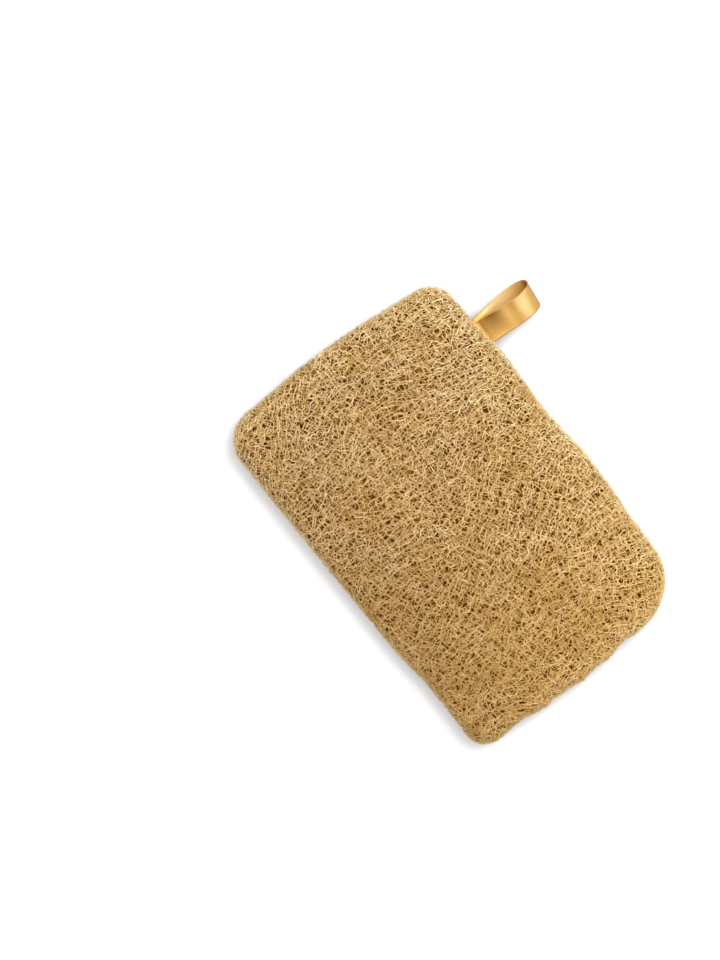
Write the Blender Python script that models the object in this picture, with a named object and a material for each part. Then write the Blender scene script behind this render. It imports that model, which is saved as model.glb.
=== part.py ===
"""Natural loofah sponge pad with a ribbon hanging loop.

The pad is one flattened, dried gourd skeleton, cut to a rounded rectangle. It lies on its flat side,
with its long side along X, its short side along Y and its middle over the origin. The net of fibres is
relief: a random net of raised strands round deep pits, over both faces and the rim. A ribbon is folded
once, its two ends are tucked into a slit in the +Y side, and a short running stitch holds them there.
Units are metres and +Z is up.
"""

import math
import random

import bmesh
import bpy
from mathutils import Matrix, Vector
from mathutils.geometry import delaunay_2d_cdt, interpolate_bezier

MM = 0.001
CLEARANCE = 0.3 * MM

# Pad, about a 6 by 4 inch size. Its plain shape is a rounded rectangle, fitted to the four edges below
HALF_LENGTH = 78 * MM
HALF_WIDTH = 50 * MM
PAD_THICKNESS = 14 * MM
RIM_DEPTH = 6 * MM  # how far in from the edge, seen from above, the rounded rim reaches
CORNER_RADII = {  # by the signs of x and y
    (1, 1): 21 * MM,
    (1, -1): 9 * MM,
    (-1, 1): 9 * MM,
    (-1, -1): 13 * MM,
}
# Where each edge lies, in millimetres: (distance along the edge, distance from the pad's middle)
PLUS_Y_EDGE = [
    (-80, 47.4), (-70, 48), (-62, 48.6), (-57, 48.4), (-50, 49.3), (-45, 50), (-30, 49.8), (-15, 49),
    (0, 49.8), (10, 50.8), (27, 50.5), (40, 49.4), (50, 49.2), (60, 48.9), (80, 48.4),
]
MINUS_Y_EDGE = [
    (-80, -51.9), (-60, -51.8), (-30, -51.5), (0, -51.1), (27, -50.6), (35, -50), (42, -49.1),
    (55, -48.8), (80, -49.3),
]
PLUS_X_EDGE = [
    (-52, 74.6), (-36, 74.5), (-30, 74.3), (-24, 75.4), (-18.5, 76.4), (-15, 75.4), (-11.5, 76.3),
    (-8, 76), (-2, 76.9), (5, 76), (10, 76.6), (15, 75.5), (20, 74.6), (24.5, 75.6), (30, 75), (52, 74.4),
]
MINUS_X_EDGE = [
    (-52, -79), (-30, -79.3), (-10, -80), (6, -79.5), (18, -78.5), (32, -76.8), (42, -75.6), (52, -74.5),
]

# Upper face
MOUND_HEIGHT = 0.4 * MM  # broad ups and downs
MOUND_SIZES = (17 * MM, 13 * MM)  # along X and Y
RIPPLE_SIZES = (8 * MM, 10 * MM)  # smaller slanting ones, of 0.6 times the height
RIPPLE_SHARE = 0.6
ROLL_TROUGH = 0.5 * MM  # shallow trough inside the rolled edge of the -Y side
ROLL_INSET = 11 * MM
ROLL_WIDTH = 4 * MM

# Net of raised strands, about twice as coarse as the real one
STRANDS = 262  # tried on each face
STARTS = 5  # each strand starts at the emptiest of this many places
STRAND_WIDTH = 1.15 * MM
STRAND_STEP = 5.1 * MM
STRAND_STEPS = (4, 11)
LEAST_STEPS = 2
STRAND_LIFT = 0.35 * MM  # strands lie this much above or below the skin
STRAND_BEND = 0.09  # radians a step
SLANTED_SHARE = 0.36  # this share of the strands runs at any slant, the others across the pad
SLANT = math.radians(60)
WAVES = (  # slow turns of the strands that run across: radians, and sizes along X and Y
    (0.45, 19 * MM, 27 * MM),
    (0.3, -15 * MM, 11 * MM),
)
WAVE_SCATTER = 0.3
RIM_MARGIN = 1.0 * MM  # strands end this far from the line where the two faces meet
SIDE_BY_SIDE = 2.1 * MM  # strands that run the same way keep this distance
SAME_WAY = math.cos(math.radians(36))
RING_SPACING = 3.4 * MM
RIM_WAVER = 0.8 * MM  # how far that line wanders up and down
PIT_DEPTH = 2.0 * MM
PIT_DEPTHS = (0.7, 1.15)  # least and most, as shares of it
PIT_CLEARANCE = 0.5 * MM  # least distance from a pit to the strands beside it
PIT_SPACING = 3.7 * MM
PIT_GRID = 0.6 * MM
SNAP = 0.3 * MM  # corners nearer than this are one
LEAST_TRIANGLE = 1e-9
REST_SPOT_RADIUS = 7.5 * MM
REST_SPOT_SIDES = 11
TOP_SEED = 11
BOTTOM_SEED = 23

# Ribbon, 10 mm wide
RIBBON_WIDTH = 10 * MM
RIBBON_THICKNESS = 0.5 * MM
RIBBON_X = -47.4 * MM  # middle of the ribbon where it leaves the pad
RIBBON_REACH = 23.1 * MM  # from the pad's edge to the tip of the loop
RIBBON_TUCK = 7 * MM  # length of each end inside the slit
STRAND_GAP = 0.4 * MM  # between the two ends in the slit
SLIT_OVERRUN = 4 * MM  # the slit's cutter starts this far outside the edge
TIP_HANDLE = 8.6 * MM  # handles of the curve that opens the loop: up from the tip,
MOUTH_HANDLE = (6 * MM, 1.8 * MM)  # and out and up from the slit
LOWER_SHIFT = -1.95 * MM  # the lower end lies this far to the side of the upper one
TWIST_AT_TIP = math.radians(26)
TWIST_POWER = 2.2  # the twist comes early, near the pad
TIP_SKEW = 0.09
CURVE_POINTS = 18

# Running stitch through both ends of the ribbon
THREAD_DIAMETER = 0.5 * MM
STITCH_LENGTH = 3 * MM
STITCH_INSET = 4 * MM  # from the pad's edge
THREAD_ANCHOR = 3.2 * MM  # how far the thread's two ends reach above and below the ribbon's middle

MIDDLE = PAD_THICKNESS / 2
UNROLLED = (math.pi / 2 - 1) * RIM_DEPTH  # the rim is this much wider unrolled than seen from above
REACH_X = HALF_LENGTH + UNROLLED
REACH_Y = HALF_WIDTH + UNROLLED
TAIL_TOP = STRAND_GAP / 2 + RIBBON_THICKNESS


def clear_scene():
    """Start from an empty scene."""
    for thing in list(bpy.data.objects):
        bpy.data.objects.remove(thing)


def new_object(name, mesh, material):
    """Put a mesh in the scene under a name, with one material."""
    thing = bpy.data.objects.new(name, mesh)
    bpy.context.scene.collection.objects.link(thing)
    if material is not None:
        mesh.materials.append(material)
    return thing


def plain_material(name, colour, roughness):
    """A Principled material of one colour."""
    material = bpy.data.materials.new(name)
    material.use_nodes = True
    shader = material.node_tree.nodes["Principled BSDF"]
    shader.inputs["Base Color"].default_value = (*colour, 1)
    shader.inputs["Roughness"].default_value = roughness
    shader.inputs["Metallic"].default_value = 0
    return material


def radius_at(x, y):
    """Corner radius of the quarter that holds a point."""
    return CORNER_RADII[(1 if x >= 0 else -1, 1 if y >= 0 else -1)]


def depth_and_way(x, y):
    """How far a point of the unrolled face lies inside its outline, and the way out."""
    radius = radius_at(x, y) + UNROLLED
    over_x = abs(x) - (REACH_X - radius)
    over_y = abs(y) - (REACH_Y - radius)
    if over_x > 0 and over_y > 0:
        out = math.hypot(over_x, over_y)
        way = (math.copysign(over_x / out, x), math.copysign(over_y / out, y))
        return radius - out, way
    if over_x > over_y:
        return radius - over_x, (math.copysign(1, x), 0)
    return radius - over_y, (0, math.copysign(1, y))


def smooth_step(value):
    """Ease from 0 to 1."""
    value = min(1, max(0, value))
    return value * value * (3 - 2 * value)


def edge_at(edge, along):
    """Where an edge lies at a distance along it, between the two listed places beside it."""
    for (start, low), (end, high) in zip(edge, edge[1:]):
        if along <= end * MM or end == edge[-1][0]:
            share = (along / MM - start) / (end - start)
            return (low + (high - low) * share) * MM


MOUTH_Y = edge_at(PLUS_Y_EDGE, RIBBON_X)  # the ribbon leaves the pad here


def fitted(x, y):
    """Stretch a point of the plain rounded rectangle so that its sides meet the pad's four edges."""
    share_x = (x / HALF_LENGTH + 1) / 2
    share_y = (y / HALF_WIDTH + 1) / 2
    new_x = edge_at(MINUS_X_EDGE, y) * (1 - share_x) + edge_at(PLUS_X_EDGE, y) * share_x
    new_y = edge_at(MINUS_Y_EDGE, x) * (1 - share_y) + edge_at(PLUS_Y_EDGE, x) * share_y
    return new_x, new_y


def swell(x, y):
    """Broad height changes of the upper face: gentle mounds and the trough by the -Y edge."""
    mounds = math.sin(x / MOUND_SIZES[0] + 0.6) * math.cos(y / MOUND_SIZES[1] - 0.4)
    mounds += RIPPLE_SHARE * math.sin(x / RIPPLE_SIZES[0] - y / RIPPLE_SIZES[1])
    trough = math.exp(-(((y + HALF_WIDTH - ROLL_INSET) / ROLL_WIDTH) ** 2))
    return MOUND_HEIGHT * mounds - ROLL_TROUGH * trough


def surface(x, y, side, lift=0.0):
    """A point of the pad's skin. x and y are on the unrolled face, side is 1 on top and -1 below, and
    lift is along the outward normal."""
    depth, (way_x, way_y) = depth_and_way(x, y)
    turn = min(depth / RIM_DEPTH, math.pi / 2)
    shift = max(0.0, UNROLLED + RIM_DEPTH * (1 - math.cos(turn)) - max(depth, 0))
    if turn >= math.pi / 2:
        shift = 0.0
    plan_x, plan_y = fitted(x - way_x * shift, y - way_y * shift)
    normal = Vector((
        way_x * math.cos(turn) / RIM_DEPTH,
        way_y * math.cos(turn) / RIM_DEPTH,
        side * math.sin(turn) / MIDDLE,
    )).normalized()
    height = MIDDLE + side * MIDDLE * math.sin(turn)
    if side > 0:
        height += swell(plan_x, plan_y) * math.sin(turn) ** 2
    return Vector((plan_x, plan_y, height)) + lift * normal


def unrolled_outline():
    """Points evenly along the unrolled face's outline, counter-clockwise."""
    corners = [((1, -1), -90), ((1, 1), 0), ((-1, 1), 90), ((-1, -1), 180)]
    outline = []
    for (sign_x, sign_y), start in corners:
        radius = CORNER_RADII[(sign_x, sign_y)] + UNROLLED
        middle_x = sign_x * (REACH_X - radius)
        middle_y = sign_y * (REACH_Y - radius)
        for step in range(17):
            angle = math.radians(start + 90 * step / 16)
            outline.append((middle_x + radius * math.cos(angle), middle_y + radius * math.sin(angle)))
    lengths = [math.dist(a, b) for a, b in zip(outline, outline[1:] + outline[:1])]
    count = round(sum(lengths) / RING_SPACING)
    spacing = sum(lengths) / count
    ring, travelled, due = [], 0.0, 0.0
    for a, b, length in zip(outline, outline[1:] + outline[:1], lengths):
        while due < travelled + length and len(ring) < count:
            share = (due - travelled) / length
            ring.append((a[0] + share * (b[0] - a[0]), a[1] + share * (b[1] - a[1])))
            due += spacing
        travelled += length
    return ring


def heading_at(x, y, draw):
    """Direction of a new strand. Most run across the pad in slow waves, the rest at any slant."""
    if draw.random() < SLANTED_SHARE:
        return draw.uniform(-SLANT, SLANT)
    wave = sum(turn * math.sin(x / size_x + y / size_y) for turn, size_x, size_y in WAVES)
    return math.pi / 2 + wave + draw.gauss(0, WAVE_SCATTER)


class Net:
    """The strands drawn so far on one face, findable by place."""

    def __init__(self):
        self.spots = {}
        self.strands = []

    def near(self, x, y, reach):
        """Places of strands within reach of a point: (distance, direction, lift)."""
        column, row = int(x // SIDE_BY_SIDE), int(y // SIDE_BY_SIDE)
        for i in (-1, 0, 1):
            for j in (-1, 0, 1):
                for px, py, direction, lift in self.spots.get((column + i, row + j), ()):
                    distance = math.hypot(px - x, py - y)
                    if distance < reach:
                        yield distance, direction, lift

    def crowded(self, x, y, direction):
        """True if a strand that runs the same way lies close by."""
        return any(
            abs(math.cos(other - direction)) > SAME_WAY for _, other, _ in self.near(x, y, SIDE_BY_SIDE)
        )

    def add(self, line, lift):
        """Keep a strand and note places closely along it."""
        self.strands.append(line)
        for (ax, ay), (bx, by) in zip(line, line[1:]):
            direction = math.atan2(by - ay, bx - ax)
            for n in range(8):
                x, y = ax + (bx - ax) * n / 8, ay + (by - ay) * n / 8
                key = int(x // SIDE_BY_SIDE), int(y // SIDE_BY_SIDE)
                self.spots.setdefault(key, []).append((x, y, direction, lift))

    def gap(self, x, y):
        """Distance from a point to the middle of the nearest strand, up to the search reach."""
        return min((distance for distance, _, _ in self.near(x, y, SIDE_BY_SIDE)), default=SIDE_BY_SIDE)

    def lift(self, x, y):
        """Height of the highest strand that covers a point, or None between strands."""
        over = [lift for _, _, lift in self.near(x, y, 0.5 * STRAND_WIDTH + 1.5 * SNAP)]
        return max(over) if over else None


def draw_strands(draw, keep_clear):
    """Long, gently curved strands that cross each other. keep_clear is the radius of the empty middle."""
    net = Net()
    for _ in range(STRANDS):
        tries = [(draw.uniform(-REACH_X, REACH_X), draw.uniform(-REACH_Y, REACH_Y)) for _ in range(STARTS)]
        x, y = max(tries, key=lambda place: net.gap(*place))
        heading = heading_at(x, y, draw)
        bend = draw.gauss(0, STRAND_BEND)
        line = []
        for _ in range(draw.randint(*STRAND_STEPS)):
            outside = depth_and_way(x, y)[0] < RIM_MARGIN or math.hypot(x, y) < keep_clear
            halfway = x - STRAND_STEP / 2 * math.cos(heading), y - STRAND_STEP / 2 * math.sin(heading)
            if outside or net.crowded(x, y, heading) or line and net.crowded(*halfway, heading):
                break
            line.append((x, y))
            heading += bend + draw.gauss(0, STRAND_BEND)
            x += STRAND_STEP * math.cos(heading)
            y += STRAND_STEP * math.sin(heading)
        if len(line) > LEAST_STEPS:
            net.add(line, draw.uniform(-STRAND_LIFT, STRAND_LIFT))
    return net


def strand_outline(line):
    """The flat outline of a strand: its left edge, then its right edge back."""
    left, right = [], []
    for index, (x, y) in enumerate(line):
        (ax, ay), (bx, by) = line[max(0, index - 1)], line[min(len(line) - 1, index + 1)]
        length = math.hypot(bx - ax, by - ay)
        side_x, side_y = -(by - ay) / length * STRAND_WIDTH / 2, (bx - ax) / length * STRAND_WIDTH / 2
        left.append((x + side_x, y + side_y))
        right.append((x - side_x, y - side_y))
    return left + right[::-1]


def pit_places(net, keep_clear):
    """Places for pits between the strands, the widest gaps first."""
    columns, rows = int(REACH_X / PIT_GRID), int(REACH_Y / PIT_GRID)
    found = []
    for column in range(-columns, columns + 1):
        for row in range(-rows, rows + 1):
            x, y = column * PIT_GRID, row * PIT_GRID
            if depth_and_way(x, y)[0] > RIM_MARGIN and math.hypot(x, y) > keep_clear:
                gap = net.gap(x, y) - STRAND_WIDTH / 2
                if gap > PIT_CLEARANCE:
                    found.append((gap, x, y))
    taken, pits = {}, []
    for gap, x, y in sorted(found, reverse=True):
        column, row = int(x // PIT_SPACING), int(y // PIT_SPACING)
        near = (taken.get((column + i, row + j), ()) for i in (-1, 0, 1) for j in (-1, 0, 1))
        if all(math.dist((x, y), other) > PIT_SPACING for group in near for other in group):
            taken.setdefault((column, row), []).append((x, y))
            pits.append((x, y))
    return pits


def double_area(corners):
    (ax, ay), (bx, by), (cx, cy) = corners
    return (bx - ax) * (cy - ay) - (by - ay) * (cx - ax)


def net_face(mesh, ring, ring_corners, side, seed):
    """Add the raised net of one face to a bmesh: flat-topped strands with pits between them."""
    draw = random.Random(seed)
    spot, keep_clear = [], 0.0
    if side < 0:
        turns = [2 * math.pi * n / REST_SPOT_SIDES for n in range(REST_SPOT_SIDES)]
        spot = [(REST_SPOT_RADIUS * math.cos(t), REST_SPOT_RADIUS * math.sin(t)) for t in turns]
        keep_clear = REST_SPOT_RADIUS + STRAND_WIDTH
    net = draw_strands(draw, keep_clear)
    loops = [ring] + ([spot] if spot else []) + [strand_outline(line) for line in net.strands]
    points, edges = [], []
    for loop in loops:
        first = len(points)
        points += loop
        edges += [(first + n, first + (n + 1) % len(loop)) for n in range(len(loop))]
    pits = pit_places(net, keep_clear)
    first_pit = len(points)
    points += pits
    flat = [Vector(point) for point in points]
    placed, _, faces, origins, _, _ = delaunay_2d_cdt(flat, edges, [], 0, SNAP, True)

    corners = []
    for (x, y), sources in zip(placed, origins):
        own = min(sources, default=None)
        if own is not None and own < len(ring):
            corners.append(ring_corners[own])
            continue
        lift = net.lift(x, y)
        if own is not None and own >= first_pit:
            lift = -PIT_DEPTH * draw.uniform(*PIT_DEPTHS)
        elif lift is None or math.hypot(x, y) < 1.01 * REST_SPOT_RADIUS and side < 0:
            lift = 0.0
        if side < 0:  # below, the highest strands all end on the plane that the pad rests on
            lift = min(0.0, lift)
        corners.append(mesh.verts.new(surface(x, y, side, lift)))
    for face in faces:
        if double_area([placed[n] for n in face]) > LEAST_TRIANGLE:
            mesh.faces.new([corners[n] for n in (face if side > 0 else face[::-1])])


def pad_solid():
    """The loofah as one closed body with the net over both faces and the rim."""
    mesh = bmesh.new()
    draw = random.Random(TOP_SEED + BOTTOM_SEED)
    ring = unrolled_outline()
    ring_corners = []
    for x, y in ring:
        corner = surface(x, y, 1, draw.uniform(-STRAND_LIFT, 0.6 * STRAND_LIFT))
        corner.z += draw.uniform(-RIM_WAVER, RIM_WAVER)
        ring_corners.append(mesh.verts.new(corner))
    net_face(mesh, ring, ring_corners, 1, TOP_SEED)
    net_face(mesh, ring, ring_corners, -1, BOTTOM_SEED)
    data = bpy.data.meshes.new("loofah_pad")
    mesh.to_mesh(data)
    mesh.free()
    return data


def box_mesh(mesh, low, high):
    """Add a box to a bmesh by its lowest and highest corners."""
    size = [h - l for l, h in zip(low, high)]
    middle = [(h + l) / 2 for l, h in zip(low, high)]
    place = Matrix.Translation(middle) @ Matrix.Diagonal((*size, 1))
    bmesh.ops.create_cube(mesh, size=1, matrix=place)


def cutter(name, boxes):
    """One hidden cutting object for each list of boxes."""
    mesh = bmesh.new()
    for low, high in boxes:
        box_mesh(mesh, low, high)
    data = bpy.data.meshes.new(name)
    mesh.to_mesh(data)
    mesh.free()
    thing = new_object(name, data, None)
    thing.hide_render = True
    thing.display_type = "WIRE"
    return thing


def cut(thing, tool):
    """Take one cutter away from an object."""
    boolean = thing.modifiers.new(tool.name, "BOOLEAN")
    boolean.operation = "DIFFERENCE"
    boolean.solver = "EXACT"
    boolean.object = tool


def stitch_places():
    """X of the three places where the thread passes through the ribbon."""
    middle = RIBBON_X + LOWER_SHIFT / 2
    return [middle - STITCH_LENGTH, middle, middle + STITCH_LENGTH]


def slit_boxes():
    """The slit for the ribbon's ends, the room for the thread on both sides and its two small holes."""
    left = RIBBON_X + LOWER_SHIFT - RIBBON_WIDTH / 2 - CLEARANCE
    right = RIBBON_X + RIBBON_WIDTH / 2 + CLEARANCE
    back = MOUTH_Y - RIBBON_TUCK - CLEARANCE
    half = TAIL_TOP + CLEARANCE
    slit = ((left, back, MIDDLE - half), (right, MOUTH_Y + SLIT_OVERRUN, MIDDLE + half))
    around = THREAD_DIAMETER / 2 + CLEARANCE
    row = MOUTH_Y - STITCH_INSET
    first, second, third = stitch_places()
    reach = thread_level() + around
    upper = ((second - around, row - around, MIDDLE), (third + around, row + around, MIDDLE + reach))
    lower = ((first - around, row - around, MIDDLE - reach), (second + around, row + around, MIDDLE))
    end = THREAD_ANCHOR + CLEARANCE
    top_hole = ((first - around, row - around, MIDDLE), (first + around, row + around, MIDDLE + end))
    low_hole = ((third - around, row - around, MIDDLE - end), (third + around, row + around, MIDDLE))
    return slit, upper, lower, top_hole, low_hole


def thread_level():
    """Height of the thread's straight runs above and below the ribbon's middle."""
    return TAIL_TOP + CLEARANCE + THREAD_DIAMETER / 2


def loop_points():
    """The ribbon's middle line in its own upright plane: (distance out from the edge, height)."""
    tail = STRAND_GAP / 2 + RIBBON_THICKNESS / 2
    mouth = Vector((0, tail, 0))
    tip = Vector((RIBBON_REACH, 0, 0))
    curve = interpolate_bezier(
        mouth,
        mouth + Vector((*MOUTH_HANDLE, 0)),
        tip + Vector((0, TIP_HANDLE, 0)),
        tip,
        CURVE_POINTS,
    )
    ends = [Vector((-RIBBON_TUCK * (1 - n / 4), tail, 0)) for n in range(4)]
    upper = [(p.x, p.y) for p in ends + list(curve)]
    lower = [(out, -height) for out, height in reversed(upper[:-1])]
    return upper + lower


def ribbon_frame(out, height, share):
    """Place and directions of the ribbon at one point of its middle line. share runs from 0 at the upper
    end to 1 at the lower one. Returns the middle, the way across and the twist."""
    reach = max(0.0, out / RIBBON_REACH)
    twist = TWIST_AT_TIP * (1 - (1 - min(1.0, reach)) ** TWIST_POWER)
    side = LOWER_SHIFT * smooth_step((share - 0.2) / 0.6)
    turn = Matrix.Rotation(twist, 3, "Y")
    middle = Vector((RIBBON_X + side, MOUTH_Y + out, MIDDLE)) + turn @ Vector((0, 0, height))
    across = turn @ Vector((1, -TIP_SKEW * reach, 0)).normalized()
    return middle, across, turn


def ribbon_solid():
    """The folded ribbon as one thin closed body."""
    line = loop_points()
    lengths = [0.0]
    for a, b in zip(line, line[1:]):
        lengths.append(lengths[-1] + math.dist(a, b))
    mesh = bmesh.new()
    rows = []
    for index, (out, height) in enumerate(line):
        before, after = line[max(0, index - 1)], line[min(len(line) - 1, index + 1)]
        run = Vector((after[0] - before[0], after[1] - before[1])).normalized()
        middle, across, turn = ribbon_frame(out, height, lengths[index] / lengths[-1])
        outward = turn @ Vector((0, -run.y, run.x))
        half_across = across * RIBBON_WIDTH / 2
        half_thick = outward * RIBBON_THICKNESS / 2
        corners = [
            middle - half_across + half_thick,
            middle + half_thick,
            middle + half_across + half_thick,
            middle + half_across - half_thick,
            middle - half_thick,
            middle - half_across - half_thick,
        ]
        rows.append([mesh.verts.new(c) for c in corners])
    for one, two in zip(rows, rows[1:]):
        for n in range(6):
            following = (n + 1) % 6
            mesh.faces.new((one[n], one[following], two[following], two[n]))
    mesh.faces.new(rows[0][::-1])
    mesh.faces.new(rows[-1])
    bmesh.ops.recalc_face_normals(mesh, faces=mesh.faces)
    bmesh.ops.triangulate(mesh, faces=mesh.faces)
    data = bpy.data.meshes.new("ribbon_loop")
    mesh.to_mesh(data)
    mesh.free()
    return data


def stitch_holes():
    """Three small holes through both ends of the ribbon."""
    around = THREAD_DIAMETER / 2 + CLEARANCE
    row = MOUTH_Y - STITCH_INSET
    reach = TAIL_TOP + CLEARANCE
    return [
        ((x - around, row - around, MIDDLE - reach), (x + around, row + around, MIDDLE + reach))
        for x in stitch_places()
    ]


def stitch_solid(material):
    """One running stitch: down, along below, up, along above and down again."""
    first, second, third = stitch_places()
    level = thread_level()
    route = [
        (first, THREAD_ANCHOR), (first, -level), (second, -level),
        (second, level), (third, level), (third, -THREAD_ANCHOR),
    ]
    curve = bpy.data.curves.new("ribbon_stitch", "CURVE")
    curve.dimensions = "3D"
    curve.bevel_depth = THREAD_DIAMETER / 2
    curve.bevel_resolution = 1
    curve.use_fill_caps = True
    spline = curve.splines.new("POLY")
    spline.points.add(len(route) - 1)
    for point, (x, height) in zip(spline.points, route):
        point.co = (x, MOUTH_Y - STITCH_INSET, MIDDLE + height, 1)
    thing = bpy.data.objects.new("ribbon_stitch", curve)
    curve.materials.append(material)
    bpy.context.scene.collection.objects.link(thing)
    return thing


def build():
    """Make the whole part."""
    clear_scene()
    loofah = plain_material("dry_loofah", (0.55, 0.37, 0.17), 0.8)
    satin = plain_material("gold_satin", (0.72, 0.42, 0.11), 0.35)
    thread = plain_material("sewing_thread", (0.65, 0.45, 0.2), 0.6)

    pad = new_object("loofah_pad", pad_solid(), loofah)
    for number, box in enumerate(slit_boxes()):
        cut(pad, cutter(f"slit_cutter_{number}", [box]))

    ribbon = new_object("ribbon_loop", ribbon_solid(), satin)
    ribbon.data.shade_smooth()
    ribbon.data.set_sharp_from_angle(angle=math.radians(50))
    cut(ribbon, cutter("stitch_holes", stitch_holes()))

    stitch_solid(thread)


build()
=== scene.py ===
"""Looks for the natural loofah pad with its ribbon loop.

The pad's solid is replaced by a mat of real fibres: curved strands in several layers on the same rounded
form, which bend round the small dark pits of the net, over a core whose dark brown is painted shade.
The ribbon is a thin strip of satin on the line of its solid, with painted reflections, highlights and
shade. Lengths are in millimetres until a mesh is made. Places in the materials are in metres, but those
on the satin are in millimetres of its flat strip.
"""

import math

import bpy
import numpy as np
from mathutils import Matrix, Vector, kdtree
from mathutils.geometry import delaunay_2d_cdt, interpolate_bezier


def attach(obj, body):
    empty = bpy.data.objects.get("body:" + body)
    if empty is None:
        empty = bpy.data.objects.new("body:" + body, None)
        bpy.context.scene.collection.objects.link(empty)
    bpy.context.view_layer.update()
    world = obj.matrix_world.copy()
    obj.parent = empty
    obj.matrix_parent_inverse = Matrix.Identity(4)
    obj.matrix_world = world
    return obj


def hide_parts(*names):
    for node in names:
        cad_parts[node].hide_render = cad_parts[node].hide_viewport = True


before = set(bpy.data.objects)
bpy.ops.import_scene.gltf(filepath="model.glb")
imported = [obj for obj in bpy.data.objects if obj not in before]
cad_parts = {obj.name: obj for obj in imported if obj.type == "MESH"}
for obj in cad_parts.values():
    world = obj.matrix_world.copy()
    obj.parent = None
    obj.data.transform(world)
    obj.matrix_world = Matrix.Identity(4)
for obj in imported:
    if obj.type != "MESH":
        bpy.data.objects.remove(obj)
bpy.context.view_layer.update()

MM = 0.001

# The pad's form, as in the solid
HALF_LENGTH, HALF_WIDTH, THICKNESS, RIM = 78.0, 50.0, 14.0, 6.0
RADII = {(1, 1): 21.0, (1, -1): 9.0, (-1, 1): 9.0, (-1, -1): 13.0}
PLUS_Y_EDGE = [
    (-80, 47.4), (-70, 48), (-62, 48.6), (-57, 48.4), (-50, 49.3), (-45, 50), (-30, 49.8), (-15, 49),
    (0, 49.8), (10, 50.8), (27, 50.5), (40, 49.4), (50, 49.2), (60, 48.9), (80, 48.4),
]
MINUS_Y_EDGE = [
    (-80, -51.9), (-60, -51.8), (-30, -51.5), (0, -51.1), (27, -50.6), (35, -50), (42, -49.1),
    (55, -48.8), (80, -49.3),
]
PLUS_X_EDGE = [
    (-52, 74.6), (-36, 74.5), (-30, 74.3), (-24, 75.4), (-18.5, 76.4), (-15, 75.4), (-11.5, 76.3),
    (-8, 76), (-2, 76.9), (5, 76), (10, 76.6), (15, 75.5), (20, 74.6), (24.5, 75.6), (30, 75),
    (52, 74.4),
]
MINUS_X_EDGE = [
    (-52, -79), (-30, -79.3), (-10, -80), (6, -79.5), (18, -78.5), (32, -76.8), (42, -75.6), (52, -74.5),
]
MOUND_HEIGHT, ROLL_TROUGH, ROLL_INSET = 0.4, 0.5, 11.0
MIDDLE = THICKNESS / 2
UNROLLED = (math.pi / 2 - 1) * RIM
REACH_X, REACH_Y = HALF_LENGTH + UNROLLED, HALF_WIDTH + UNROLLED

# The ribbon's line, as in the solid. The folded strip has two tails in the pad and a loop outside it.
RIBBON_X, RIBBON_REACH, RIBBON_TUCK, RIBBON_WIDTH = -47.4, 23.1, 7.0, 10.0
TIP_HANDLE, MOUTH_HANDLE, LOWER_SHIFT = 8.6, (6.0, 1.8), -1.95
TWIST_AT_TIP, TWIST_POWER, TIP_SKEW = math.radians(26), 2.2, 0.09
TAIL_HEIGHT = 0.45
SATIN_HALF_THICKNESS, SELVEDGE_BULGE = 0.11, 0.05
LOOP_POINTS, ACROSS_POINTS = 48, 25

# Where the ribbon goes into the pad: no fibre within this width at the rim, and a slit in the core
MOUTH_MIDDLE, MOUTH_HALF, MOUTH_DEPTH = RIBBON_X - 1, 7, 1.2
SLIT_HALF, SLIT_DEPTH, SLIT_SPARE = 7.2, 3.2, 0.6

# A fibre's section: its width and height on its nominal ones, and how much painted shade darkens its sides
SECTION_WIDE, SECTION_HIGH, PAINTED_SIDE_SHADE = 1.15, 0.95, 0.58

# The share of its thickness that a loose end has at each of its points
HAIR_TAPER = (1, 0.95, 0.85, 0.7, 0.45)


def edge_at(edge, along):
    """The edge's value at some places, on straight lines between its points."""
    places, values = np.array(edge, float).T
    return np.interp(along, places, values)


MOUTH_Y = float(edge_at(PLUS_Y_EDGE, RIBBON_X))


def smooth_step(value):
    """From 0 to 1 with soft ends."""
    value = np.clip(value, 0, 1)
    return value * value * (3 - 2 * value)


def depth_and_way(x, y):
    """How far points of the unrolled face lie inside its outline, and the way out."""
    right, far = x >= 0, y >= 0
    radius = np.where(
        right, np.where(far, RADII[1, 1], RADII[1, -1]), np.where(far, RADII[-1, 1], RADII[-1, -1])
    ) + UNROLLED
    over_x = np.abs(x) - (REACH_X - radius)
    over_y = np.abs(y) - (REACH_Y - radius)
    sign_x, sign_y = np.where(right, 1.0, -1.0), np.where(far, 1.0, -1.0)
    corner = (over_x > 0) & (over_y > 0)
    out = np.maximum(np.hypot(over_x, over_y), 1e-9)
    depth = np.where(corner, radius - out, radius - np.maximum(over_x, over_y))
    way_x = np.where(corner, over_x / out, over_x > over_y) * sign_x
    way_y = np.where(corner, over_y / out, over_x <= over_y) * sign_y
    return depth, way_x, way_y


def fitted(x, y):
    """Points of the plain rounded rectangle, moved onto the uneven outline."""
    share_x, share_y = (x / HALF_LENGTH + 1) / 2, (y / HALF_WIDTH + 1) / 2
    new_x = edge_at(MINUS_X_EDGE, y) * (1 - share_x) + edge_at(PLUS_X_EDGE, y) * share_x
    new_y = edge_at(MINUS_Y_EDGE, x) * (1 - share_y) + edge_at(PLUS_Y_EDGE, x) * share_y
    return new_x, new_y


def swell(x, y):
    """Height of the upper face's low mounds, less the trough along the -Y side."""
    mounds = np.sin(x / 17 + 0.6) * np.cos(y / 13 - 0.4) + 0.6 * np.sin(x / 8 - y / 10)
    return MOUND_HEIGHT * mounds - ROLL_TROUGH * np.exp(-(((y + HALF_WIDTH - ROLL_INSET) / 4) ** 2))


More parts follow.
